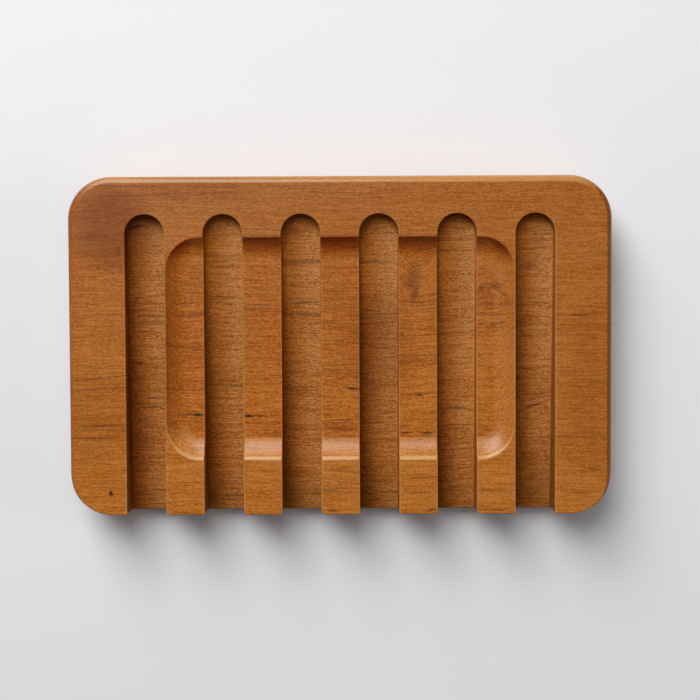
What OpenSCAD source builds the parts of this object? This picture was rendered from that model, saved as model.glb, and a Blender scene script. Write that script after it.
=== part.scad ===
// Slatted wooden soap dish, cut from one board, on four bumper feet. Millimetres.
// The origin is on the table under the board's middle: +X to the right along the board,
// +Y to the closed back ends of the grooves, +Z up.

/* [Board] */
// Length of the board, left to right, along the grain
board_l = 133; // [125:0.5:160]
// Width of the board, front to back
board_w = 83; // [78:0.5:100]
// Thickness of the board
board_t = 15; // [13:0.5:22]
// Radius of the four corners seen from above
board_corner_r = 10.5; // [6:0.5:13]
// Radius of the eased edges round the top and the bottom
board_edge_r = 1.2; // [0.4:0.1:2.4]

/* [Drain grooves] */
// Number of grooves
groove_count = 6; // [3:1:6]
// Distance from one groove's centre line to the next
groove_pitch = 19.1; // [16:0.1:20]
// Width of a groove, the cutter's diameter
groove_w = 9.65; // [6:0.05:12]
// Distance from the board's back edge to the closed end of a groove
groove_back_margin = 9.25; // [6:0.25:14]
// Depth of a groove below the board's top at its closed end
groove_back_depth = 3; // [2:0.1:4]
// Depth of a groove below the board's top where it runs out at the front
groove_front_depth = 10.5; // [6:0.1:12]

/* [Soap hollow] */
// Length of the hollow along the board, measured at the board's top
hollow_l = 85.2; // [70:0.1:95]
// Width of the hollow, front to back, measured at the board's top
hollow_w = 54; // [44:0.5:58]
// Distance from the board's back edge to the hollow
hollow_back_margin = 15; // [12:0.5:20]
// Depth of the hollow's floor below the board's top
hollow_depth = 2.2; // [1:0.05:2.9]
// Radius of the round-nosed cutter that leaves the hollow's curved sides
hollow_nose_r = 6.5; // [5:0.5:10]
// Radius of the hollow's corners seen from above
hollow_corner_r = 8.2; // [7.5:0.1:12]

/* [Bumper feet] */
// Diameter of a foot
foot_d = 9; // [6:0.5:11]
// Height of a foot below the board
foot_proud = 1.5; // [0.8:0.1:3]
// Radius of the rounded lower edge of a foot
foot_edge_r = 0.7; // [0.3:0.1:0.8]
// Depth of the pocket that a foot is glued into
foot_pocket_depth = 1; // [0.5:0.1:2]
// Gap between a foot and the wall of its pocket, all round
foot_pocket_gap = 0.2; // [0.1:0.05:0.5]
// Distance from a foot's centre to the board's left or right end
foot_end_inset = 11; // [9:0.5:20]
// Distance from a foot's centre to the board's front or back edge
foot_side_inset = 14; // [10:0.5:20]

/* [Hidden] */
$fn = 96;

wood = "#a5632e";
bumper = "#d9d6cf";

// How far a cutter runs past the face that it cuts
overrun = 1;

board_top = foot_proud + board_t;
board_front = -board_w / 2;
board_back = board_w / 2;

groove_end = board_back - groove_back_margin;
groove_end_centre = groove_end - groove_w / 2;
groove_run = groove_end - board_front;
groove_slope = atan((groove_front_depth - groove_back_depth) / groove_run);

hollow_middle = board_back - hollow_back_margin - hollow_w / 2;
// Width of the curved band inside the hollow's rim
hollow_band = sqrt(2 * hollow_nose_r * hollow_depth - hollow_depth * hollow_depth);
// Radius, seen from above, at which the flat floor ends in a corner of the hollow
hollow_floor_r = hollow_corner_r - hollow_band;

foot_r = foot_d / 2;
foot_h = foot_proud + foot_pocket_depth;
foot_x = board_l / 2 - foot_end_inset;
foot_y = board_w / 2 - foot_side_inset;

// Half of a board's end section, from its middle plane out to the eased edges
module edge_section(reach) {
    square([reach - board_edge_r, board_t]);
    translate([0, board_edge_r]) square([reach, board_t - 2 * board_edge_r]);
    for (z = [board_edge_r, board_t - board_edge_r])
        translate([reach - board_edge_r, z]) circle(board_edge_r);
}

// Section of the hollow's cutter, from the flat floor's middle out to the round-nosed side
module hollow_section(reach) {
    square([reach, hollow_depth + overrun]);
    intersection() {
        translate([reach, hollow_nose_r]) circle(hollow_nose_r);
        square([reach + hollow_nose_r, hollow_depth + overrun]);
    }
}

// A section swept round a rounded rectangle of length l and width w, measured between the
// axes of its corners: child 0 is the section for the straight sides, drawn from the axis
// outwards, and turning it a quarter gives a corner
module swept_plate(l, w, h) {
    translate([-l / 2, -w / 2, 0]) cube([l, w, h]);
    for (side = [0, 1]) mirror([0, side, 0])
        translate([-l / 2, w / 2, 0]) rotate([90, 0, 90]) linear_extrude(l) children(0);
    for (side = [0, 1]) mirror([side, 0, 0])
        translate([l / 2, w / 2, 0]) rotate([90, 0, 0]) linear_extrude(w) children(0);
    for (x_side = [0, 1], y_side = [0, 1]) mirror([x_side, 0, 0]) mirror([0, y_side, 0])
        translate([l / 2, w / 2, 0]) rotate_extrude(angle = 90) children(0);
}

module blank() {
    translate([0, 0, foot_proud])
        swept_plate(board_l - 2 * board_corner_r, board_w - 2 * board_corner_r, board_t)
            edge_section(board_corner_r);
}

module hollow_cut() {
    translate([0, hollow_middle, board_top - hollow_depth])
        swept_plate(hollow_l - 2 * hollow_corner_r, hollow_w - 2 * hollow_corner_r,
                    hollow_depth + overrun)
            hollow_section(hollow_floor_r);
}

// One groove's cutter: upright sides and a half-round end, over a floor that falls to the front
module groove_cut() {
    intersection() {
        translate([0, 0, foot_proud]) linear_extrude(board_t + overrun) {
            translate([0, groove_end_centre]) circle(d = groove_w);
            translate([-groove_w / 2, board_front - overrun])
                square([groove_w, groove_end_centre - board_front + overrun]);
        }
        translate([-groove_w, board_front, board_top - groove_front_depth])
            rotate([groove_slope, 0, 0])
                translate([0, -board_t, 0])
                    cube([2 * groove_w, groove_run + 2 * board_t, board_t]);
    }
}

module foot_pocket() {
    translate([0, 0, foot_proud - overrun])
        cylinder(r = foot_r + foot_pocket_gap, h = foot_pocket_depth + overrun);
}

module at_foot(x_side, y_side) {
    translate([x_side * foot_x, y_side * foot_y, 0]) children();
}

module dish_board() {
    color(wood) difference() {
        blank();
        hollow_cut();
        for (i = [0 : groove_count - 1])
            translate([(i - (groove_count - 1) / 2) * groove_pitch, 0, 0]) groove_cut();
        for (x_side = [-1, 1], y_side = [-1, 1]) at_foot(x_side, y_side) foot_pocket();
    }
}

module foot(x_side, y_side) {
    color(bumper) at_foot(x_side, y_side) rotate_extrude() {
        translate([0, foot_edge_r]) square([foot_r, foot_h - foot_edge_r]);
        square([foot_r - foot_edge_r, foot_h]);
        translate([foot_r - foot_edge_r, foot_edge_r]) circle(foot_edge_r);
    }
}

dish_board();
foot(-1, -1);  // foot_front_left
foot(1, -1);  // foot_front_right
foot(-1, 1);  // foot_back_left
foot(1, 1);  // foot_back_right
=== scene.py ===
"""The looks of a slatted wooden soap dish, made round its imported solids."""
import math

import bpy
from bpy.props import FloatProperty, FloatVectorProperty, IntProperty, PointerProperty
from mathutils import Euler, Matrix, Vector
from mathutils.geometry import delaunay_2d_cdt


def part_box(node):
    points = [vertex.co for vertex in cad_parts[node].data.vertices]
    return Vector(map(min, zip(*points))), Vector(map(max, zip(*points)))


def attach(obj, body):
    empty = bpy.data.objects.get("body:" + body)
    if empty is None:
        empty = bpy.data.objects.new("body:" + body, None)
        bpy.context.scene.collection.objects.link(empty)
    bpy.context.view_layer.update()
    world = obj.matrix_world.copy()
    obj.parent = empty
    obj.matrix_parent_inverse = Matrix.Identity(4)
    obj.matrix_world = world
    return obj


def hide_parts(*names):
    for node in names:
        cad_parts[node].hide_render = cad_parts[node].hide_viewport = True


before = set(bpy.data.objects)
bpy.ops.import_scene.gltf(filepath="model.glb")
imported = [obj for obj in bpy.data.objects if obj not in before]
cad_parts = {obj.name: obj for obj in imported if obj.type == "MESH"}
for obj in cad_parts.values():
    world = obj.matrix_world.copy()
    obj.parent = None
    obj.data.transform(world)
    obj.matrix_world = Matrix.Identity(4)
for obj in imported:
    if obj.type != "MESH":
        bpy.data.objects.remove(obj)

bl_info = {
    "name": "Slatted Soap Dish",
    "version": (1, 0, 0),
    "blender": (4, 5, 0),
    "location": "View3D > Sidebar > Soap Dish",
    "description": "Makes a routed wooden soap dish with drain grooves, and a stage to see it on",
    "category": "Add Mesh",
}

MM = 0.001
BOARD_LOW, BOARD_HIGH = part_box("dish_board")
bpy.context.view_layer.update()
FOOT_NODES = sorted(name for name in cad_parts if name.startswith("foot_"))
# Numbers of the board's finishes, in the order of its materials
SANDED, HOLLOW, ROUTED = range(3)
# How many straight pieces the round shapes are drawn in, seen from above
OUTLINE_CORNER_STEPS = 24
HOLLOW_CORNER_STEPS = 20
GROOVE_END_STEPS = 40
GROOVE_FRONT_STEPS = 6
POCKET_STEPS = 64
# The same for the sections of the eased edges, of the hollow's sides, and of the grooves' edges and fillets
EDGE_STEPS = 6
RIM_STEPS = 3
BAND_STEPS = 8
ARRIS_STEPS = 4
FILLET_STEPS = 5

# How far the colour is lightened along the land's edges, where the hollow's front rim has 1: rubbed edges
# with some painted highlight along the grooves, and painted highlight on the back edge and on the hollow's
# front and right rims, which face the lamps. The back edge has more at its right end, and the hollow's
# curved sides have a share of what its rim has, as painted sheen
GROOVE_WEAR_AND_HIGHLIGHT = 0.5
BACK_HIGHLIGHT = 0.8
BACK_HIGHLIGHT_MORE = 0.15
RIGHT_RIM_HIGHLIGHT = 0.4
BAND_SHEEN_SHARE = 1 / 3
# How strongly the finer details show in the wood's colour, from 0 to 1
# The edges' share below is for rubbed edges and painted highlight
WEAR_AND_HIGHLIGHT_SHOWS = 0.5
# The torn fibres' share below is painted light on the grooves' lit right sides
TORN_LIGHT_SHOWS = 0.4
LINE_SHOWS = 0.35
PORE_SHOWS = 0.14
# How far fibres and torn fibres stand up, and how deep a crack is, in millimetres
FIBRE_RELIEF = 0.02
TORN_RELIEF = 0.05
CRACK_DEPTH = 0.05

# Dark marks in the wood, in millimetres from the board's middle: across, back, half length, half width,
# turn in degrees, and darkness from 0 to 1
LAND_MARKS = (
    (-58.8, -19.5, 9.5, 0.55, 1, 0.45),
    (-60.4, -22.5, 9.5, 0.5, 0, 0.5),
    (-56.5, -36.2, 0.75, 1.25, 10, 1.0),
    (-56.0, -33.1, 3.6, 0.35, 0, 0.3),
    (57.9, 7.2, 5.8, 0.4, 0, 0.5),
    (58.9, -36.4, 5.4, 0.35, 1, 0.45),
    (62.2, -30.6, 3.8, 0.4, -4, 0.5),
    (0.0, -34.9, 5.4, 0.35, 0, 0.3),
    (18.9, -36.1, 5.4, 0.4, 0, 0.3),
    (37.9, -35.9, 5.4, 0.35, 0, 0.4),
    (-2.0, -40.6, 2.2, 0.5, -4, 0.6),
    (22.2, -40.5, 1.7, 0.7, 8, 0.6),
    (38.3, -40.6, 4.6, 0.35, 0, 0.55),
    (-38.0, -40.9, 4.6, 0.4, 0, 0.35),
    (-54.0, 23.1, 0.9, 1.9, 0, 0.35),
)
HOLLOW_MARKS = (
    (-36.9, -17.1, 4.8, 0.35, 0, 0.75),
    (-35.1, -17.1, 1.9, 0.75, 2, 1.0),
    (-20.7, -17.4, 4.4, 0.3, 0, 0.55),
    (-22.7, -17.4, 1.8, 0.65, 0, 1.0),
    (3.0, -10.7, 2.5, 0.45, -6, 0.95),
    (0.0, -18.6, 5.4, 0.28, 0, 0.7),
    (0.6, -20.9, 4.2, 0.7, 0, 0.4),
    (19.0, -12.2, 5.4, 0.35, 2, 0.4),
    (19.6, -12.4, 1.3, 0.5, -5, 0.8),
    (15.7, -19.9, 2.0, 0.35, 0, 0.6),
    (16.0, -21.6, 2.1, 0.5, 0, 0.7),
    (21.3, -21.7, 2.4, 0.45, 0, 0.85),
    (-38.3, 10.4, 5.2, 0.3, 0, 0.4),
    (-19.3, 9.9, 5.2, 0.35, 0, 0.5),
    (0.0, 9.9, 5.2, 0.26, 0, 0.25),
    (17.9, 16.4, 3.0, 5.4, -8, 0.4),
    (18.3, 12.6, 1.4, 3.0, -20, 0.5),
    (38.5, 14.4, 1.6, 1.6, 0, 0.4),
    (34.9, 13.6, 1.3, 2.0, 30, 0.35),
    (38.9, 5.2, 2.8, 0.45, 16, 0.5),
)
ROUTED_MARKS = (
    (-50.2, 29.3, 2.8, 0.55, 17, 1.0),
    (-50.1, 11.8, 1.7, 0.4, 0, 0.5),
    (-50.1, -4.4, 1.4, 0.4, 0, 0.8),
    (-47.1, -13.2, 2.9, 0.45, 0, 0.5),
    (-47.0, -15.5, 3.9, 0.4, 3, 0.5),
    (-28.9, -9.0, 5.2, 0.35, 0, 0.5),
    (-28.9, 12.0, 5.2, 0.45, 0, 0.4),
    (-28.9, 19.6, 5.2, 0.3, 0, 0.35),
    (-9.0, 10.4, 4.6, 0.35, 0, 0.6),
    (-9.8, 19.6, 5.2, 0.3, 0, 0.3),
    (-10.1, -10.6, 5.2, 0.4, 0, 0.4),
    (7.4, 8.6, 3.2, 0.4, -8, 0.4),
    (9.6, -19.8, 5.4, 0.35, 0, 0.3),
    (28.9, -15.9, 5.4, 0.35, 0, 0.55),
    (28.9, -21.1, 5.2, 0.35, 0, 0.35),
    (48.2, -15.4, 4.6, 0.55, 14, 0.6),
    (48.8, -13.7, 4.0, 0.35, 12, 0.4),
    (43.8, -8.4, 0.9, 0.55, 0, 1.0),
    (46.6, 19.3, 2.6, 1.8, 20, 0.4),
    (48.8, 10.4, 2.8, 0.35, 0, 0.4),
)
# Broad darker and redder parts of the wood, given like the marks
RED_PARTS = (
    (-56.0, 30.0, 20.0, 19.0, 0, 1.0),
    (-38.0, 12.0, 10.0, 22.0, 0, 0.15),
    (-38.0, 39.0, 38.0, 9.0, 0, 0.6),
    (0.0, -14.0, 12.0, 16.0, 0, 0.15),
    (9.5, 0.0, 16.0, 26.0, 0, 0.5),
    (62.0, -8.0, 16.0, 44.0, 0, 0.45),
    (-62.0, -16.0, 20.0, 28.0, 0, 0.2),
)
# Painted shade behind the hollow's back rim and in the hollow's back band, back corners and left side, which
# face away from the lamps, given like the marks
RIM_PAINTED_SHADE = ((0.0, 26.0, 46.0, 2.4, 0, 0.5),)
HOLLOW_PAINTED_SHADE = (
    (0.0, 27.0, 60.0, 6.5, 0, 1.0),
    (-39.5, 25.5, 9.0, 4.5, 42, 1.0),
    (39.5, 25.5, 9.0, 4.5, -42, 1.0),
    (-43.0, 0.0, 7.0, 40.0, 0, 0.4),
)
# Where the grooves are darker towards their open front ends and in the right-hand groove, given like the
# marks
DARKER_GROOVE_PARTS = (
    (0.0, -43.0, 90.0, 17.0, 0, 0.6),
    (50.5, -43.0, 7.0, 20.0, 0, 0.9),
)
# The stage's soft lamps: elevation and turn from the back to the left in degrees, side and distance in
# metres, watts, and whether the wood mirrors it
LAMPS = {
    "window": (50, 28, 0.8, 1.3, 8.5, True),
    "window_high": (62, 20, 0.45, 0.9, 2.1, True),
    "window_low": (30, 25, 0.45, 0.9, 3.3, True),
    "overhead": (78, -20, 0.5, 0.9, 0.8, False),
    "room_right": (20, 270, 0.45, 0.9, 1.5, False),
}
# Knots that lie hidden in the wood and push the grain aside, in millimetres: across, back, reach and push
KNOTS = ((19.5, 17.0, 9.0, 5.0), (36.5, 15.5, 7.0, -4.5))


def length_property(name, description, millimetres):
    """A length that a user would change."""
    return FloatProperty(name=name, description=description, default=millimetres * MM, unit="LENGTH")


def factor_property(name, description, default):
    """A share or a strength that a user would change."""
    return FloatProperty(name=name, description=description, default=default, subtype="FACTOR")


def colour_property(name, description, default):
    """A colour that a user would change."""
    return FloatVectorProperty(name=name, description=description, default=default, subtype="COLOR",
                               min=0, max=1)


class BoardSizes(bpy.types.PropertyGroup):
    """Sizes of what is cut into the board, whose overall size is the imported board's"""

    corner: length_property("Corner", "Radius of the board's corners seen from above", 10.5)
    edge: length_property("Edge", "Radius of the eased edge round the underside", 1.2)
    edge_back: length_property("Back Edge", "Radius of the top's eased edge along the back", 1.65)
    edge_side: length_property("End Edges", "Radius of the top's eased edges at both ends", 1.5)
    edge_front: length_property("Front Edge", "Radius of the top's eased edge along the front", 0.3)
    arris: length_property("Arris", "Radius of the sanding along the grooves' edges", 0.25)
    ease_left: length_property("Ease Left", "Radius at the front end of a groove's left wall", 0.45)
    ease_right: length_property("Ease Right", "Radius at the front end of a groove's right wall", 0.9)
    grooves: IntProperty(name="Grooves", description="Number of drain grooves", default=6, min=3)
    pitch: length_property("Pitch", "Distance from one groove's centre line to the next", 19.1)
    groove_width: length_property("Groove Width", "Diameter of the groove's cutter", 9.65)
    groove_margin: length_property("Groove Margin", "From the back edge to a groove's closed end", 9.25)
    groove_back: length_property("Closed Depth", "Depth of a groove at its closed end", 3)
    groove_front: length_property("Open Depth", "Depth of a groove at the front edge", 10.5)
    groove_fillet: length_property("Groove Fillet", "Radius between a groove's floor and its walls", 0.8)
    hollow_length: length_property("Hollow Length", "Length of the soap hollow at the top", 85.2)
    hollow_width: length_property("Hollow Width", "Width of the soap hollow at the top", 54)
    hollow_margin: length_property("Hollow Margin", "From the back edge to the soap hollow", 15)
    hollow_depth: length_property("Hollow Depth", "Depth of the soap hollow's flat floor", 2.2)
    hollow_nose: length_property("Hollow Nose", "Radius of the hollow's round-nosed cutter", 6.5)
    rim_front: length_property("Front Rim", "Radius of the sanding along the hollow's front rim", 1.5)
    rim_back: length_property("Back Rim", "Radius of the sanding along the hollow's other rims", 0.4)
    hollow_fold: length_property("Hollow Fold", "How far the hollow's front side stands out", 0.1)
    hollow_corner: length_property("Hollow Corner", "Radius of the hollow's corners from above", 8.2)
    pocket_gap: length_property("Pocket Gap", "Gap between a foot and the wall of its pocket", 0.2)


class Finishes(bpy.types.PropertyGroup):
    """Colours and roughnesses of the oiled wood and of the bumper feet"""

    sanded_dark: colour_property("Sanded Dark", "Darker fibres of the sanded top", (0.335, 0.089, 0.002))
    sanded_light: colour_property("Sanded Light", "Lighter fibres of the sanded top", (0.525, 0.189, 0.034))
    hollow_dark: colour_property("Hollow Dark", "Darker fibres of the hollow", (0.295, 0.067, 0.001))
    hollow_light: colour_property("Hollow Light", "Lighter fibres of the hollow", (0.545, 0.182, 0.026))
    routed_dark: colour_property("Routed Dark", "Darker fibres of the grooves", (0.29, 0.085, 0.003))
    routed_light: colour_property("Routed Light", "Lighter fibres of the grooves", (0.58, 0.236, 0.068))
    red_part: colour_property("Red Part", "What dims the redder parts of the wood", (0.50, 0.38, 0.22))
    # Painted shade in the hollow's back band, back corners and left side, and behind its back rim
    oiled_part: colour_property("Oiled Part", "What dims wood where oil has gathered", (0.58, 0.28, 0.01))
    # Darkens the grooves towards their open front ends and in the right-hand groove
    stained_part: colour_property("Stained Part", "What dims the grooves' water stains", (0.62, 0.59, 0.36))
    # Painted shade on the grooves' left sides, walls and closed ends
    burnished: colour_property("Burnished", "What dims wood that the cutter burnished", (0.69, 0.50, 0.12))
    # Darker end grain at both ends, and partly painted shade on the right end, which faces away from the
    # lamps
    end_grain: colour_property("End Grain", "What dims the cut ends of the fibres", (0.62, 0.56, 0.70))
    # Colour of rubbed edges, and of the painted highlight and sheen on edges that face the lamps
    worn: colour_property("Worn Edge", "The wood where its edges are worn", (0.74, 0.44, 0.17))
    mark: colour_property("Mark", "Cracks, knots and mineral lines", (0.035, 0.010, 0.005))
    rubber: colour_property("Rubber", "The bumper feet", (0.62, 0.60, 0.56))
    sanded_roughness: factor_property("Sanded Roughness", "Roughness of the oiled and sanded faces", 0.27)
    sanded_gloss: factor_property("Sanded Gloss", "How much the oiled and sanded faces mirror", 0.35)
    routed_roughness: factor_property("Routed Roughness", "Roughness of the grooves after the cutter", 0.60)
    routed_gloss: factor_property("Routed Gloss", "How much the grooves mirror", 0.15)
    sanded_fuzz: length_property("Sanded Fuzz", "How far the fibres of the sanded faces stand up", 0.015)
    routed_fuzz: length_property("Routed Fuzz", "How far the fibres of the grooves stand up", 0.07)


class StageSettings(bpy.types.PropertyGroup):
    """The floor, the lights and the camera"""

    focal_length: FloatProperty(name="Focal Length", description="Focal length of the camera",
                                default=77.27, unit="CAMERA")
    eye: FloatVectorProperty(name="Eye", description="Place of the camera",
                             default=(4.3 * MM, 14.35 * MM, 383.7 * MM), subtype="TRANSLATION")
    tilt: FloatVectorProperty(name="Tilt", description="Turns of the camera off the straight look down",
                              default=(0.0419, -0.00515, 0.00429), subtype="EULER")
    floor_colour: colour_property("Floor Colour", "Colour of the pale floor", (0.80, 0.80, 0.81))
    light: factor_property("Light", "Brightness of all the lamps together", 1)
    room_light: factor_property("Room Light", "Brightness of the light from all round", 0.075)
    room_colour: colour_property("Room Colour", "Colour of the light from all round", (0.95, 0.97, 1.0))


def settings(name):
    """The property group that register() put on the scene under this name."""
    return getattr(bpy.context.scene, name)


def add_object(name, data):
    """A new object in the scene, with this mesh, light or camera."""
    thing = bpy.data.objects.new(name, data)
    bpy.context.scene.collection.objects.link(thing)
    return thing


class Skin:
    """A mesh in the making: points in millimetres, and faces with a normal at each corner."""

    def __init__(self):
        self.points = []
        self.faces = []
        self.normals = []
        self.finishes = []
        self.wear = []

    def corner(self, x, y, z, normal):
        """Adds a point, and gives back its number and its normal."""
        self.points.append((x, y, z))
        return len(self.points) - 1, Vector(normal)

    def face(self, corners, finish, worn=0):
        """Adds a face that is smooth with its neighbours."""
        self.faces.append([number for number, _ in corners])
        self.normals += [normal for _, normal in corners]
        self.finishes.append(finish)
        self.wear.append(float(worn))

    def flat_face(self, corners, normal, finish):
        """Adds a face with one normal all over."""
        self.face([(number, normal) for number, _ in corners], finish)

    def strip(self, lower, upper, finish):
        """Adds a closed band of faces between two rings of corners."""
        for i in range(len(lower)):
            self.face([lower[i - 1], lower[i], upper[i], upper[i - 1]], finish)

    def to_object(self, name, origin, materials):
        """The finished piece in metres, with the skin's zero point at this origin."""
        mesh = bpy.data.meshes.new(name)
        points = [origin + MM * Vector(point) for point in self.points]
        mesh.from_pydata(points, [], self.faces)
        for material in materials:
            mesh.materials.append(material)
        mesh.shade_smooth()
        for polygon, finish in zip(mesh.polygons, self.finishes):
            polygon.material_index = finish
        mesh.normals_split_custom_set(self.normals)
        # Each face's lightening, for rubbed edges and for painted highlight
        mesh.attributes.new("worn", "FLOAT", "FACE").data.foreach_set("value", self.wear)
        return add_object(name, mesh)


def arc(centre, radius, first, last, steps):
    """Points along an arc whose two end angles are in degrees."""
    turns = [math.radians(first + (last - first) * step / steps) for step in range(steps + 1)]
    return [(centre[0] + radius * math.cos(turn), centre[1] + radius * math.sin(turn)) for turn in turns]


def round_rectangle(centre_y, half_x, half_y, corner, steps):
    """Points of a rounded rectangle, anticlockwise."""
    points = []
    for quarter, (side_x, side_y) in enumerate(((1, 1), (-1, 1), (-1, -1), (1, -1))):
        centre = (side_x * (half_x - corner), centre_y + side_y * (half_y - corner))
        points += arc(centre, corner, 90 * quarter, 90 * quarter + 90, steps)
    return points


def rectangle_inset(x, y, centre_y, half_x, half_y, corner):
    """How far a point lies inside a rounded rectangle."""
    beyond_x = abs(x) - half_x + corner
    beyond_y = abs(y - centre_y) - half_y + corner
    outside = math.hypot(max(beyond_x, 0), max(beyond_y, 0))
    return corner - outside - min(max(beyond_x, beyond_y), 0)


def round_drop(radius, distance):
    """How far a quarter-round edge has dropped at a distance from the wall that it runs into."""
    reach = radius - min(max(distance, 0), radius)
    return radius - math.sqrt(radius ** 2 - reach ** 2)


def round_steps(radius, steps):
    """Distances from the wall at which a quarter-round edge is drawn, the furthest first."""
    return [radius * (1 - math.sin(math.pi / 2 * step / steps)) for step in range(steps + 1)]


class BoardShape:
    """The board's shape in millimetres, with z = 0 at its top face and y = 0 across its middle."""

    def __init__(self, sizes):
        for name in BoardSizes.__annotations__:
            value = getattr(sizes, name)
            setattr(self, name, value if name == "grooves" else round(value / MM, 4))
        size = (BOARD_HIGH - BOARD_LOW) / MM
        self.half_x, self.half_y, self.thick = round(size.x / 2, 3), round(size.y / 2, 3), round(size.z, 3)
        self.front = -self.half_y
        self.radius = self.groove_width / 2
        self.groove_end = self.half_y - self.groove_margin
        self.end_centre = self.groove_end - self.radius
        self.slope = (self.groove_front - self.groove_back) / (self.groove_end - self.front)
        self.centres = [(i - (self.grooves - 1) / 2) * self.pitch for i in range(self.grooves)]
        self.hollow_y = self.half_y - self.hollow_margin - self.hollow_width / 2
        # Width of the hollow's curved band
        self.band = math.sqrt(self.hollow_nose ** 2 - (self.hollow_nose - self.hollow_depth) ** 2)

    def edge_inset(self, x, y):
        """How far inside the board's outline a point is."""
        return rectangle_inset(x, y, 0, self.half_x, self.half_y, self.corner)

    def edge_radius(self, x, y):
        """Radius of the top's eased edge at the point of the outline that is nearest."""
        out = sideways(self.edge_inset, x, y)
        if out.y > 0:
            return self.edge_side * out.x ** 2 + self.edge_back * out.y ** 2
        # The rounding of the ends runs out early in the front corners
        side = max(1 - 2 * out.y ** 2, 0) ** 2
        return self.edge_front + (self.edge_side - self.edge_front) * side

    def edge_line(self, share):
        """The outline moved inwards by this share of the eased edge's width."""
        line = []
        for x, y in round_rectangle(0, self.half_x, self.half_y, self.corner, OUTLINE_CORNER_STEPS):
            inward = -share * self.edge_radius(x, y) * sideways(self.edge_inset, x, y)
            line.append((x + inward.x, y + inward.y))
        return line + line[:1]

    def hollow_inset(self, x, y):
        """How far inside the hollow's rim a point is."""
        return rectangle_inset(x, y, self.hollow_y, self.hollow_length / 2, self.hollow_width / 2,
                               self.hollow_corner)

    def wall_gap(self, x, y):
        """How far a point is from the nearest groove's wall, less than zero inside the groove."""
        centre = min(self.centres, key=lambda groove: abs(x - groove))
        across = abs(x - centre)
        if y > self.end_centre:
            return math.hypot(across, y - self.end_centre) - self.radius
        ease = self.ease_right if x > centre else self.ease_left
        if y >= self.front + ease:
            return across - self.radius
        past = across - self.radius - ease
        if past <= 0:
            return ease - math.hypot(past, y - self.front - ease)
        return math.hypot(past, y - self.front)

    def hollow_rim(self, x, y):
        """Radius of the rounding of the nearest rim of the hollow, and where it starts and ends."""
        forward = max(-sideways(self.hollow_inset, x, y).y, 0) ** 2
        radius = self.rim_back + (self.rim_front - self.rim_back) * forward
        whole = self.hollow_nose + radius
        reach = math.sqrt(whole ** 2 - (whole - self.hollow_depth) ** 2)
        return radius, self.band - reach, self.band - reach * self.hollow_nose / whole

    def hollow_line(self, share):
        """A line round the hollow: its rim starts at 0 and ends at 1, and its floor starts at 2."""
        line = []
        rim = round_rectangle(self.hollow_y, self.hollow_length / 2, self.hollow_width / 2,
                              self.hollow_corner, HOLLOW_CORNER_STEPS)
        for x, y in rim:
            _, start, end = self.hollow_rim(x, y)
            if share < 1:
                inset = start + (end - start) * share
            else:
                turn = math.asin((self.band - end) / self.hollow_nose) * (2 - share)
                inset = self.band - self.hollow_nose * math.sin(turn)
            inward = -inset * sideways(self.hollow_inset, x, y)
            line.append((x + inward.x, y + inward.y))
        return line + line[:1]

    def hollow_drop(self, x, y):
        """Depth of the hollow at a point."""
        inset = self.hollow_inset(x, y)
        if inset >= self.band:
            return self.hollow_depth
        radius, start, end = self.hollow_rim(x, y)
        if inset <= start:
            return 0
        if inset < end:
            return radius - math.sqrt(radius ** 2 - (inset - start) ** 2)
        left, width = self.band - inset, self.band - end
        rise = self.hollow_nose - math.sqrt(self.hollow_nose ** 2 - left ** 2)
        # The front side starts with a fold, highest halfway up, where the sanding has left it less hollow
        fold = max(-sideways(self.hollow_inset, x, y).y, 0) ** 2 * self.hollow_fold
        return self.hollow_depth - rise - 4 * fold * left * (width - left) / width ** 2

    def land(self, x, y, gap=None, inset=None):
        """Height of the rails, the ribs and the hollow."""
        gap = self.wall_gap(x, y) if gap is None else gap
        inset = self.edge_inset(x, y) if inset is None else inset
        drop = self.hollow_drop(x, y) + round_drop(self.arris, gap)
        if inset < max(self.edge_back, self.edge_side, self.edge_front):
            drop += round_drop(self.edge_radius(x, y), inset)
        return -drop

    def floor(self, x, y, gap=None, inset=None):
        """Height of the grooves' floors."""
        gap = self.wall_gap(x, y) if gap is None else gap
        inset = self.edge_inset(x, y) if inset is None else inset
        level = -self.groove_back - self.slope * (self.groove_end - y)
        return level + round_drop(self.groove_fillet, -gap) - round_drop(self.arris, inset)

    def wall_line(self, centre, gap):
        """The line at a distance from a groove's wall, from its right front end round to its left one."""
        halves = []
        for side, ease in ((1, self.ease_right), (-1, self.ease_left)):
            half = []
            first = 270
            if gap > 0:
                half += arc((self.radius + ease, self.front), gap, 0, 90, GROOVE_FRONT_STEPS // 2)
            if gap < 0:
                first = 180 + math.degrees(math.asin(ease / (ease - gap)))
            half += arc((self.radius + ease, self.front + ease), ease - gap, first, 180,
                        GROOVE_FRONT_STEPS)
            half.append((self.radius + gap, self.end_centre))
            halves.append([(centre + side * x, max(y, self.front)) for x, y in half])
        end = arc((centre, self.end_centre), self.radius + gap, 0, 180, GROOVE_END_STEPS)
        return halves[0] + end[1:-1] + halves[1][::-1]

    def worn(self, x, y):
        """How far the colour is lightened along the land's edges, from 0 to 1: rubbed edges with some
        painted
            highlight along the grooves, and painted highlight and sheen where the edges face the lamps.
        """
        if 0 <= self.wall_gap(x, y) < self.arris:
            return GROOVE_WEAR_AND_HIGHLIGHT
        if self.edge_inset(x, y) < self.edge_radius(x, y):
            most = BACK_HIGHLIGHT + BACK_HIGHLIGHT_MORE * x / self.half_x
            # The high power keeps the painted highlight off the round corners
            return most * max(sideways(self.edge_inset, x, y).y, 0) ** 6
        inset = self.hollow_inset(x, y)
        _, start, end = self.hollow_rim(x, y)
        if not start <= inset < self.band:
            return 0
        out = sideways(self.hollow_inset, x, y)
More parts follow.
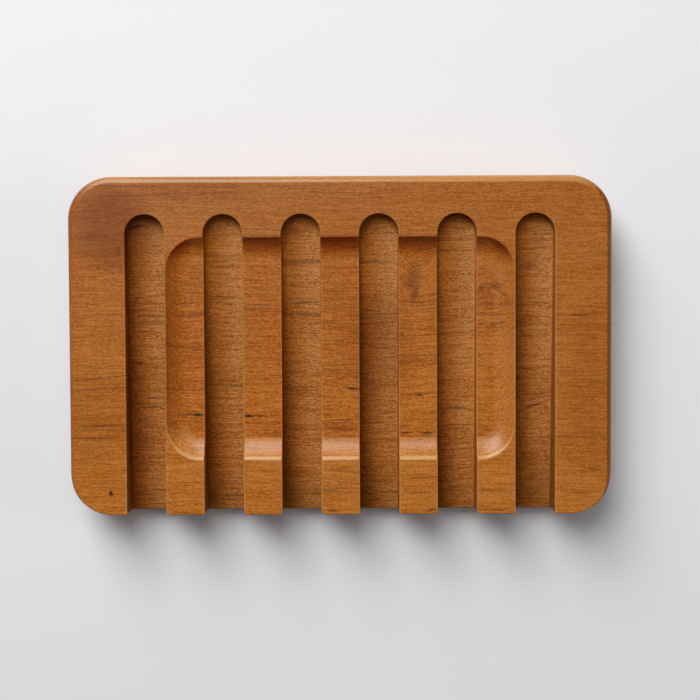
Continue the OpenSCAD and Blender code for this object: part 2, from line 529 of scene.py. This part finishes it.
        # The hollow's front and right rims face the lamps: painted highlight, and painted sheen on the band
        # below
        wear = max(math.sqrt(max(-out.y, 0)), RIGHT_RIM_HIGHLIGHT * out.x)
        return wear if inset < end else wear * BAND_SHEEN_SHARE

    def lines(self):
        """All the lines that the board's top is drawn along, as lists of points."""
        lines = [self.edge_line(share) for share in round_steps(1, EDGE_STEPS)]
        lines += [self.hollow_line(step / RIM_STEPS) for step in range(RIM_STEPS)]
        lines += [self.hollow_line(1 + step / BAND_STEPS) for step in range(BAND_STEPS + 1)]
        # One more line keeps the hollow's floor flat up to the fold
        just_inside = 0.05
        lines.append(self.hollow_line(2 + just_inside))
        gaps = round_steps(self.arris, ARRIS_STEPS)
        gaps += [-inset for inset in round_steps(self.groove_fillet, FILLET_STEPS)[:-1]]
        for centre in self.centres:
            lines += [self.wall_line(centre, gap) for gap in gaps]
        return lines


def triangles(lines, nearest):
    """Fills a plan with triangles that follow its lines, where points that are nearer to each other than
    this become one. It gives the points, the triangles, and the numbers that each point has in the lines."""
    points, edges = [], []
    for line in lines:
        edges += [(len(points) + i, len(points) + i + 1) for i in range(len(line) - 1)]
        points += [Vector(point) for point in line]
    points, _, faces, sources, _, _ = delaunay_2d_cdt(points, edges, [], 0, nearest, True)
    return points, [tuple(face) for face in faces], sources


def middle(points):
    """The middle of some points."""
    return sum(points, Vector((0, 0))) / len(points)


def upward(height, x, y, step=1e-3):
    """The normal of a surface that is given by its height."""
    slope_x = (height(x + step, y) - height(x - step, y)) / (2 * step)
    slope_y = (height(x, y + step) - height(x, y - step)) / (2 * step)
    return Vector((-slope_x, -slope_y, 1)).normalized()


def sideways(distance, x, y, step=1e-3):
    """The level direction in which a distance falls fastest."""
    return Vector((distance(x - step, y) - distance(x + step, y),
                   distance(x, y - step) - distance(x, y + step), 0)).normalized()


class Plan:
    """The board's top seen from above, as triangles, with its outline and the grooves' walls."""

    def __init__(self, shape):
        self.points, self.faces, _ = triangles(shape.lines(), nearest=2e-5)
        self.sunk = [shape.wall_gap(*self.middle(face)) < 0 for face in self.faces]
        # The face that has each edge, by the edge's two points in their order
        self.beside = {(face[i - 1], face[i]): number for number, face in enumerate(self.faces)
                       for i in range(3)}
        self.outline = {a: b for a, b in self.beside if (b, a) not in self.beside}
        self.walls = [(a, b) for (a, b), number in self.beside.items()
                      if (b, a) in self.beside and self.sunk[number] and not self.sunk[self.beside[b, a]]]
        self.on_wall = {v for edge in self.walls for v in edge}

    def middle(self, face):
        """The middle of a face."""
        return middle([self.points[v] for v in face])

    def ring(self):
        """The outline's points in their order."""
        ring = [next(iter(self.outline))]
        while self.outline[ring[-1]] != ring[0]:
            ring.append(self.outline[ring[-1]])
        return ring


def add_raised(skin, shape, plan, v, height):
    """Adds a point of the plan at this height, and gives back its corner."""
    x, y = plan.points[v]
    z = height(x, y, 0 if v in plan.on_wall else None, 0 if v in plan.outline else None)
    if v in plan.on_wall:
        return skin.corner(x, y, z, sideways(shape.wall_gap, x, y))
    if v in plan.outline:
        return skin.corner(x, y, z, sideways(shape.edge_inset, x, y))
    return skin.corner(x, y, z, upward(height, x, y))


def add_top(skin, shape, plan):
    """Adds the land with its hollow, and the grooves' floors and walls. It gives back the land's corners and
    the floors', by the numbers of their points in the plan."""
    land, floor = {}, {}
    for face, low in zip(plan.faces, plan.sunk):
        corners, height = (floor, shape.floor) if low else (land, shape.land)
        for v in face:
            if v not in corners:
                corners[v] = add_raised(skin, shape, plan, v, height)
        centre = plan.middle(face)
        in_hollow = shape.hollow_inset(*centre) > shape.hollow_rim(*centre)[1]
        finish = ROUTED if low else HOLLOW if in_hollow else SANDED
        skin.face([corners[v] for v in face], finish, 0 if low else shape.worn(*centre))
    for a, b in plan.walls:
        skin.face([floor[b], floor[a], land[a], land[b]], ROUTED)
    return land, floor


def add_sides(skin, shape, plan, land, floor):
    """Adds the upright sides and the eased edge round the underside, and gives back the lowest corners."""
    ring = plan.ring()
    rows = []
    for inset in reversed(round_steps(shape.edge, EDGE_STEPS)):
        out = 1 - inset / shape.edge
        z = round_drop(shape.edge, inset) - shape.thick
        row = []
        for v in ring:
            x, y = plan.points[v]
            outward = sideways(shape.edge_inset, x, y)
            normal = outward * out - Vector((0, 0, math.sqrt(1 - out ** 2)))
            row.append(skin.corner(x - outward.x * inset, y - outward.y * inset, z, normal))
        rows.append(row)
    for i in range(len(ring)):
        a, b = ring[i - 1], ring[i]
        if plan.sunk[plan.beside[a, b]]:
            top = [floor[b], floor[a]]
        else:
            # Where a wall runs out, the land's side goes down to the floor
            top = [corners[v] for v, pair in ((b, (floor, land)), (a, (land, floor)))
                   for corners in pair if v in corners]
        skin.face([rows[0][i - 1], rows[0][i], *top], SANDED)
    for upper, lower in zip(rows, rows[1:]):
        skin.strip(lower, upper, SANDED)
    return rows[-1]


def add_underside(skin, shape, rim, pockets):
    """Adds the flat underside inside this rim, with the pockets that are cut into it."""
    down = Vector((0, 0, -1))
    loops = [[skin.points[number][:2] for number, _ in rim]]
    loops += [arc(centre, radius, 0, 360, POCKET_STEPS)[:-1] for centre, radius, _ in pockets]
    mouths = [[skin.corner(x, y, -shape.thick, down) for x, y in loop] for loop in loops[1:]]
    known = [corner for ring in [rim, *mouths] for corner in ring + ring[:1]]
    points, faces, sources = triangles([loop + loop[:1] for loop in loops], nearest=1e-6)
    for face in faces:
        place = middle([points[v] for v in face])
        if all((place - Vector(centre)).length > radius for centre, radius, _ in pockets):
            skin.flat_face([known[sources[v][0]] for v in reversed(face)], down, SANDED)
    for (centre, _, depth), mouth, loop in zip(pockets, mouths, loops[1:]):
        inward = [Vector((centre[0] - x, centre[1] - y, 0)).normalized() for x, y in loop]
        lower = [(number, normal) for (number, _), normal in zip(mouth, inward)]
        roof = [skin.corner(x, y, depth - shape.thick, normal) for (x, y), normal in zip(loop, inward)]
        skin.strip(roof, lower, ROUTED)
        skin.flat_face(roof[::-1], down, ROUTED)


def foot_pockets(gap):
    """Centre, radius and depth of the pocket round each packed foot, in millimetres."""
    pockets = []
    for node in FOOT_NODES:
        low, high = (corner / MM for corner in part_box(node))
        centre = ((low.x + high.x) / 2, (low.y + high.y) / 2)
        pockets.append((centre, (high.x - low.x) / 2 + gap, high.z - BOARD_LOW.z / MM))
    return pockets


def board_skin(shape):
    """The whole board: its top and grooves, its sides, and its underside with the pockets for its feet."""
    skin = Skin()
    plan = Plan(shape)
    land, floor = add_top(skin, shape, plan)
    rim = add_sides(skin, shape, plan, land, floor)
    add_underside(skin, shape, rim, foot_pockets(shape.pocket_gap))
    return skin


class Recipe:
    """A tree of shader nodes in the making: each call adds one node and gives back its result."""

    def __init__(self, tree):
        self.tree = tree

    def add(self, kind, inputs, result=0, **choices):
        """Adds a node, with its inputs by name or number, and its choices by name."""
        node = self.tree.nodes.new("ShaderNode" + kind)
        for name, choice in choices.items():
            setattr(node, name, choice)
        for name, value in inputs.items():
            self.feed(node.inputs[name], value)
        return node.outputs[result]

    def feed(self, socket, value):
        """Links a result to a socket, or sets the socket's own value."""
        if isinstance(value, bpy.types.NodeSocket):
            self.tree.links.new(value, socket)
        elif socket.type == "RGBA":
            socket.default_value = (*value, 1)
        else:
            socket.default_value = value

    def place(self):
        """The place on the piece, in millimetres."""
        return self.vector("MULTIPLY", self.add("TexCoord", {}, "Object"), (1 / MM, 1 / MM, 1 / MM))

    def axis(self, vector, number):
        """One of a vector's three numbers: 0 for x, 1 for y and 2 for z."""
        return self.add("SeparateXYZ", {0: vector}, number)

    def math(self, operation, *values):
        """Works out a number from up to three others."""
        return self.add("Math", dict(enumerate(values)), operation=operation)

    def vector(self, operation, first, second):
        """Works out a vector from two others."""
        return self.add("VectorMath", {0: first, 1: second}, operation=operation)

    def weigh(self, start, *parts):
        """Adds up a start value and pairs of a value and its weight."""
        total = start
        for value, weight in parts:
            total = self.math("MULTIPLY_ADD", value, weight, total)
        return total

    def noise(self, place, stretch, detail=2.0, roughness=0.5, result=0):
        """Noise with this many spots to the millimetre along each axis."""
        spots = self.vector("MULTIPLY", place, stretch)
        return self.add("TexNoise", {"Vector": spots, "Scale": 1, "Detail": detail, "Roughness": roughness},
                        result)

    def fade(self, value, start, end, first=0.0, last=1.0):
        """Goes smoothly from the first number to the last while the value goes from start to end."""
        return self.add("MapRange", {"Value": value, "From Min": start, "From Max": end, "To Min": first,
                                     "To Max": last}, interpolation_type="SMOOTHSTEP")

    def blend(self, share, first, second, how="MIX"):
        """Mixes two colours."""
        return self.add("Mix", {0: share, 6: first, 7: second}, 2, data_type="RGBA", blend_type=how)

    def bump(self, height):
        """The normal of a surface with this relief, in millimetres."""
        return self.add("Bump", {"Distance": MM, "Height": height})


def new_group(name, inputs, outputs):
    """A group of nodes with these sockets, as its tree, its input node and its output node."""
    tree = bpy.data.node_groups.new(name, "ShaderNodeTree")
    for side, sockets in (("INPUT", inputs), ("OUTPUT", outputs)):
        for socket, kind in sockets.items():
            tree.interface.new_socket(socket, in_out=side, socket_type="NodeSocket" + kind)
    return tree, tree.nodes.new("NodeGroupInput"), tree.nodes.new("NodeGroupOutput")


def oval_group():
    """A soft-edged oval, of which the stronger of it and what came before is kept."""
    inputs = {"Before": "Float", "Strength": "Float", "Place": "Vector", "Centre": "Vector",
              "Turn": "Vector", "Reach": "Vector"}
    tree, given, taken = new_group("oval", inputs, {"After": "Float"})
    recipe = Recipe(tree)
    oval = recipe.add("Mapping", {"Vector": given.outputs["Place"], "Location": given.outputs["Centre"],
                                  "Rotation": given.outputs["Turn"], "Scale": given.outputs["Reach"]},
                      vector_type="TEXTURE")
    away = recipe.add("VectorMath", {0: oval}, "Value", operation="LENGTH")
    solid = 0.15
    mask = recipe.fade(away, solid, 1, given.outputs["Strength"], 0)
    recipe.feed(taken.inputs["After"], recipe.math("MAXIMUM", given.outputs["Before"], mask))
    return tree


def figure_group():
    """The wood's growth layers, fibres and pores, alike for every finish, in millimetres."""
    outputs = {"Place": "Vector", "Broad": "Float", "Streak": "Float", "Fibre": "Float", "Line": "Float",
               "Pore": "Float"}
    tree, _, taken = new_group("wood_figure", {}, outputs)
    recipe = Recipe(tree)
    place = recipe.place()
    slow = recipe.noise(place, (0.012, 0.03, 0.03), 2, 0.5, "Color")
    quick = recipe.noise(place, (0.10, 0.25, 0.25), 2, 0.5, "Color")
    push = recipe.vector("MULTIPLY", recipe.vector("SUBTRACT", slow, (0.5, 0.5, 0.5)), (0, 6, 3))
    ripple = recipe.vector("MULTIPLY", recipe.vector("SUBTRACT", quick, (0.5, 0.5, 0.5)), (0, 0.5, 0.5))
    grain = recipe.vector("ADD", recipe.vector("ADD", place, push), ripple)
    for across, back, reach, strength in KNOTS:
        from_knot = recipe.vector("SUBTRACT", place, (across, back, BOARD_HIGH.z / MM))
        near = recipe.fade(recipe.add("VectorMath", {0: from_knot}, "Value", operation="LENGTH"), 0, reach,
                           strength, 0)
        grain = recipe.vector("ADD", grain, recipe.add("CombineXYZ", {1: near}))
    layers = recipe.add("Mapping", {"Vector": grain, "Rotation": (math.radians(28), 0, 0)})
    contour = recipe.noise(layers, (0.004, 0.16, 0.05), 1)
    broken = recipe.fade(recipe.noise(layers, (0.03, 0.3, 0.3), 2), 0.40, 0.60)
    line = recipe.fade(recipe.math("ABSOLUTE", recipe.math("SUBTRACT", contour, 0.5)), 0, 0.014, 1, 0)
    pores = recipe.noise(layers, (0.40, 3.4, 2.8), 1)
    results = {
        "Place": recipe.vector("ADD", place, ripple),
        "Broad": recipe.noise(layers, (0.007, 0.10, 0.04), 2),
        "Streak": recipe.noise(layers, (0.03, 0.8, 0.5), 3, 0.7),
        "Fibre": recipe.noise(layers, (0.12, 3.6, 3.0), 2, 0.7),
        "Line": recipe.math("MULTIPLY", line, broken),
        "Pore": recipe.fade(pores, 0.62, 0.70),
    }
    for name, result in results.items():
        recipe.feed(taken.inputs[name], result)
    return tree


def ovals(recipe, group, place, spots):
    """How strongly the wood is marked, given the places and sizes of its marks, which go right through."""
    strength, through = 0.0, 1000
    for across, back, half_length, half_width, turn, dark in spots:
        strength = recipe.add("Group", {
            "Before": strength, "Strength": dark, "Place": place, "Centre": (across, back, 0),
            "Turn": (0, 0, math.radians(turn)), "Reach": (half_length, half_width, through),
        }, "After", node_tree=group)
    return strength


def groove_light_and_shade(recipe, shape, place):
    """Where the grooves' lit right sides get torn fibres with painted light, and where painted shade falls,
    which is on the left sides, in the shadow of the left walls, on the walls and at the closed ends."""
    # Across the grooves, which all have their middles at half a pitch
    across, middle_line = recipe.math("WRAP", recipe.axis(place, 0), shape.pitch, 0), shape.pitch / 2
    along = recipe.axis(place, 1)
    right = recipe.fade(across, middle_line - 2, middle_line + 3)
    specks = recipe.fade(recipe.noise(place, (2.2, 3.2, 3.2), 1), 0.54, 0.68)
    torn_and_lit = recipe.math("MULTIPLY", specks, recipe.math("MULTIPLY", right, recipe.fade(along, -15, 10)))
    # Painted shade: on the left sides, in the left walls' shadow, on the walls and at the closed ends
    left = recipe.fade(across, middle_line + 3.5, middle_line - 4.2)
    up = recipe.axis(recipe.add("NewGeometry", {}, "Normal"), 2)
    wall = recipe.fade(up, 0.8, 0.3, 0, 0.65)
    near_end = recipe.fade(along, shape.groove_end - 4, shape.groove_end - 1)
    return torn_and_lit, recipe.math("MAXIMUM", left, recipe.math("MAXIMUM", wall, near_end))


def cut_ends_and_shade(recipe, place, end_from):
    """Where the fibres' cut ends show: on what faces left or right, further out than this. On the right end,
    which faces away from the lamps, it reaches flatter faces and is partly painted shade.
    """
    facing = recipe.axis(recipe.add("NewGeometry", {}, "Normal"), 0)
    end = recipe.math("MAXIMUM", recipe.fade(facing, 0.1, 0.25), recipe.fade(facing, -0.5, -0.8))
    out = recipe.math("ABSOLUTE", recipe.axis(place, 0))
    return recipe.math("MULTIPLY", end, recipe.fade(out, end_from - 1, end_from))


def new_finish(name):
    """A new material, the recipe for its nodes, and the inputs of its shader."""
    material = bpy.data.materials.new(name)
    material.use_nodes = True
    return material, Recipe(material.node_tree), material.node_tree.nodes["Principled BSDF"].inputs


def wood_finish(name, groups, fibres, roughness, gloss, fuzz, marks, darkened, shape=None, end_from=None):
    """Oiled wood with dark and light fibres, which stand up by fuzz. The parts given after the marks say
    where the wood is darker, and the colour that dims it there: painted shade in the hollow and behind its
    back rim, and a darker front in the grooves. shape is given for grooves, whose lit right sides get torn
    fibres with painted light, and whose left sides, walls and closed ends get painted shade; end_from is how
    far from the middle the end grain starts, which on the right end is partly painted shade."""
    looks = settings("dish_finishes")
    oval, figure = groups
    material, recipe, shader = new_finish(name)
    wood = recipe.add("Group", {}, node_tree=figure).node.outputs
    place, fibre, streak = wood["Place"], wood["Fibre"], wood["Streak"]
    fluff = recipe.noise(place, (1.3, 3.6, 3.6), 1, 0.6)
    fuzz = fuzz / MM

    # What makes the wood lighter and darker, and how much of it
    parts = ((wood["Broad"], 1.0), (streak, 0.7), (fibre, 2.4), (fluff, 2.0 + 6 * fuzz))
    tone = recipe.weigh(0.5 - sum(weight for _, weight in parts) / 2, *parts)
    colour = recipe.blend(tone, *fibres)
    # Lighter colour for rubbed edges, and painted highlight on the edges that face the lamps
    worn = recipe.add("Attribute", {}, "Fac", attribute_name="worn")
    colour = recipe.blend(recipe.math("MULTIPLY", worn, WEAR_AND_HIGHLIGHT_SHOWS), colour, looks.worn)
    # The wood gets redder towards the back, and the grooves less so
    reddest = 0.2 if shape else 0.38
    back = recipe.fade(recipe.axis(place, 1), -30, 36, 0, reddest)
    red = recipe.math("MAXIMUM", back, ovals(recipe, oval, place, RED_PARTS))
    colour = recipe.blend(red, colour, looks.red_part, "MULTIPLY")
    # Painted shade in the hollow and behind its back rim; a darker front in the grooves
    spots, colour_there = darkened
    colour = recipe.blend(ovals(recipe, oval, place, spots), colour, colour_there, "MULTIPLY")
    torn_and_lit = 0.0
    if shape:
        # Painted light on the grooves' lit right sides, over torn-fibre relief, and painted shade on their
        # left sides, walls and closed ends
        torn_and_lit, burnished = groove_light_and_shade(recipe, shape, place)
        colour = recipe.blend(recipe.math("MULTIPLY", torn_and_lit, TORN_LIGHT_SHOWS), colour, looks.worn)
        # Painted shade on the grooves' left sides, walls and closed ends
        colour = recipe.blend(burnished, colour, looks.burnished, "MULTIPLY")
    colour = recipe.blend(recipe.math("MULTIPLY", wood["Line"], LINE_SHOWS), colour, looks.mark)
    colour = recipe.blend(recipe.math("MULTIPLY", wood["Pore"], PORE_SHOWS), colour, looks.mark)
    if end_from:
        # End grain, partly painted shade on the right end
        colour = recipe.blend(cut_ends_and_shade(recipe, place, end_from), colour, looks.end_grain, "MULTIPLY")
    ragged = recipe.weigh(0.55, (fibre, 0.5), (fluff, 0.4))
    crack = recipe.math("MULTIPLY", ovals(recipe, oval, place, marks), ragged)
    recipe.feed(shader["Base Color"], recipe.blend(crack, colour, looks.mark))

    uneven = 0.12
    recipe.feed(shader["Roughness"], recipe.weigh(roughness - uneven, (streak, uneven), (fluff, uneven)))
    recipe.feed(shader["Specular IOR Level"], gloss)
    height = recipe.weigh(0, (fibre, FIBRE_RELIEF), (crack, -CRACK_DEPTH), (fluff, fuzz),
                          (torn_and_lit, TORN_RELIEF))
    recipe.feed(shader["Normal"], recipe.bump(height))
    return material


def board_finishes(shape):
    """The board's finishes, in the order of their numbers."""
    looks = settings("dish_finishes")
    groups = oval_group(), figure_group()
    end_band = 3
    sanded = wood_finish("sanded_wood", groups, (looks.sanded_dark, looks.sanded_light),
                         looks.sanded_roughness, looks.sanded_gloss, looks.sanded_fuzz, LAND_MARKS,
                         (RIM_PAINTED_SHADE, looks.oiled_part), end_from=shape.half_x - end_band)
    hollow = wood_finish("hollow_wood", groups, (looks.hollow_dark, looks.hollow_light),
                         looks.sanded_roughness, looks.sanded_gloss, looks.sanded_fuzz, HOLLOW_MARKS,
                         (HOLLOW_PAINTED_SHADE, looks.oiled_part))
    routed = wood_finish("routed_wood", groups, (looks.routed_dark, looks.routed_light),
                         looks.routed_roughness, looks.routed_gloss, looks.routed_fuzz, ROUTED_MARKS,
                         (DARKER_GROOVE_PARTS, looks.stained_part), shape)
    return sanded, hollow, routed


def rubber_finish(name, colour):
    """Pale moulded rubber, a little dulled by dust and handling."""
    material, recipe, shader = new_finish(name)
    place = recipe.place()
    dust = recipe.fade(recipe.noise(place, (0.35, 0.35, 0.35), 4), 0.35, 0.70)
    dulled = [0.72 * part for part in colour]
    grain = recipe.noise(place, (5, 5, 5), 2)
    recipe.feed(shader["Base Color"], recipe.blend(dust, colour, dulled))
    recipe.feed(shader["Roughness"], recipe.weigh(0.42, (dust, 0.25), (grain, 0.1)))
    recipe.feed(shader["Normal"], recipe.bump(recipe.math("MULTIPLY", grain, 0.02)))
    return material


def floor_finish(name, colour):
    """A pale, matt floor with the faintest mottling."""
    material, recipe, shader = new_finish(name)
    mottle = recipe.noise(recipe.place(), (0.05, 0.05, 0.05), 4)
    darker = [0.985 * part for part in colour]
    recipe.feed(shader["Base Color"], recipe.blend(mottle, darker, colour))
    recipe.feed(shader["Roughness"], 0.7)
    return material


def make_lamp(name, elevation, turn, side, distance, power, mirrored):
    """A soft square lamp that shines on the dish."""
    light = bpy.data.lights.new(name, "AREA")
    light.size = side
    light.energy = power
    lamp = add_object(name, light)
    lamp.visible_glossy = mirrored
    towards = Vector((0, 1, 0))
    towards.rotate(Euler((math.radians(elevation), 0, math.radians(turn))))
    lamp.location = towards * distance
    lamp.rotation_mode = "QUATERNION"
    lamp.rotation_quaternion = towards.to_track_quat("Z", "Y")


def make_room(colour, strength):
    """Faint light from all round."""
    world = bpy.data.worlds.new("room")
    world.use_nodes = True
    background = world.node_tree.nodes["Background"].inputs
    background["Color"].default_value = (*colour, 1)
    background["Strength"].default_value = strength
    bpy.context.scene.world = world


def make_camera(stage):
    """The camera, which looks almost straight down."""
    optics = bpy.data.cameras.new("camera")
    optics.lens = stage.focal_length
    camera = add_object("camera", optics)
    camera.location = stage.eye
    camera.rotation_mode = "QUATERNION"
    turned = (Matrix.Rotation(-stage.tilt[0], 3, "X") @ Matrix.Rotation(-stage.tilt[1], 3, "Y")
              @ Matrix.Rotation(-stage.tilt[2], 3, "Z"))
    camera.rotation_quaternion = turned.to_quaternion()
    bpy.context.scene.camera = camera


class SOAPDISH_OT_board(bpy.types.Operator):
    """Make the board: a rounded blank with the hollow and the grooves cut in"""

    bl_idname = "soapdish.board"
    bl_label = "Make Board"

    def execute(self, context):
        shape = BoardShape(settings("dish_board_sizes"))
        origin = Vector(((BOARD_LOW.x + BOARD_HIGH.x) / 2, (BOARD_LOW.y + BOARD_HIGH.y) / 2, BOARD_HIGH.z))
        board = board_skin(shape).to_object("board", origin, board_finishes(shape))
        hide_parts("dish_board")
        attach(board, "root")
        return {"FINISHED"}


class SOAPDISH_OT_feet(bpy.types.Operator):
    """Give the bumper feet their rubber"""

    bl_idname = "soapdish.feet"
    bl_label = "Finish Feet"

    def execute(self, context):
        rubber = rubber_finish("bumper_rubber", settings("dish_finishes").rubber)
        for node in FOOT_NODES:
            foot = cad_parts[node]
            foot.data.materials.clear()
            foot.data.materials.append(rubber)
        return {"FINISHED"}


class SOAPDISH_OT_stage(bpy.types.Operator):
    """Set the floor, the lights and the camera"""

    bl_idname = "soapdish.stage"
    bl_label = "Set Stage"

    def execute(self, context):
        stage = settings("dish_stage")
        context.scene.view_settings.view_transform = "Standard"
        mesh = bpy.data.meshes.new("floor")
        reach = 3
        mesh.from_pydata([(-reach, -reach, 0), (reach, -reach, 0), (reach, reach, 0), (-reach, reach, 0)],
                         [], [(0, 1, 2, 3)])
        mesh.materials.append(floor_finish("pale_floor", stage.floor_colour))
        floor = add_object("floor", mesh)
        for name, (elevation, turn, side, distance, power, mirrored) in LAMPS.items():
            make_lamp(name, elevation, turn, side, distance, power * stage.light, mirrored)
        make_room(stage.room_colour, stage.room_light)
        make_camera(stage)
        return {"FINISHED"}


class SOAPDISH_PT_sidebar(bpy.types.Panel):
    """The soap dish's operators and sizes"""

    bl_label = "Soap Dish"
    bl_idname = "SOAPDISH_PT_sidebar"
    bl_space_type = "VIEW_3D"
    bl_region_type = "UI"
    bl_category = "Soap Dish"

    def draw(self, context):
        for operator in OPERATORS:
            self.layout.operator(operator.bl_idname)
        for name, group in GROUPS.items():
            box = self.layout.box()
            for field in group.__annotations__:
                box.prop(getattr(context.scene, name), field)


OPERATORS = (SOAPDISH_OT_board, SOAPDISH_OT_feet, SOAPDISH_OT_stage)
GROUPS = {"dish_board_sizes": BoardSizes, "dish_finishes": Finishes, "dish_stage": StageSettings}
CLASSES = (*GROUPS.values(), *OPERATORS, SOAPDISH_PT_sidebar)


def register():
    """Adds the classes to Blender, and the property groups to the scene."""
    for item in CLASSES:
        bpy.utils.register_class(item)
    for name, group in GROUPS.items():
        setattr(bpy.types.Scene, name, PointerProperty(type=group))


def unregister():
    """Takes away what register() added."""
    for name in GROUPS:
        delattr(bpy.types.Scene, name)
    for item in reversed(CLASSES):
        bpy.utils.unregister_class(item)


def main():
    """Makes the whole dish and its stage."""
    register()
    bpy.ops.soapdish.stage()
    bpy.ops.soapdish.board()
    bpy.ops.soapdish.feet()


if __name__ == "__main__":
    main()
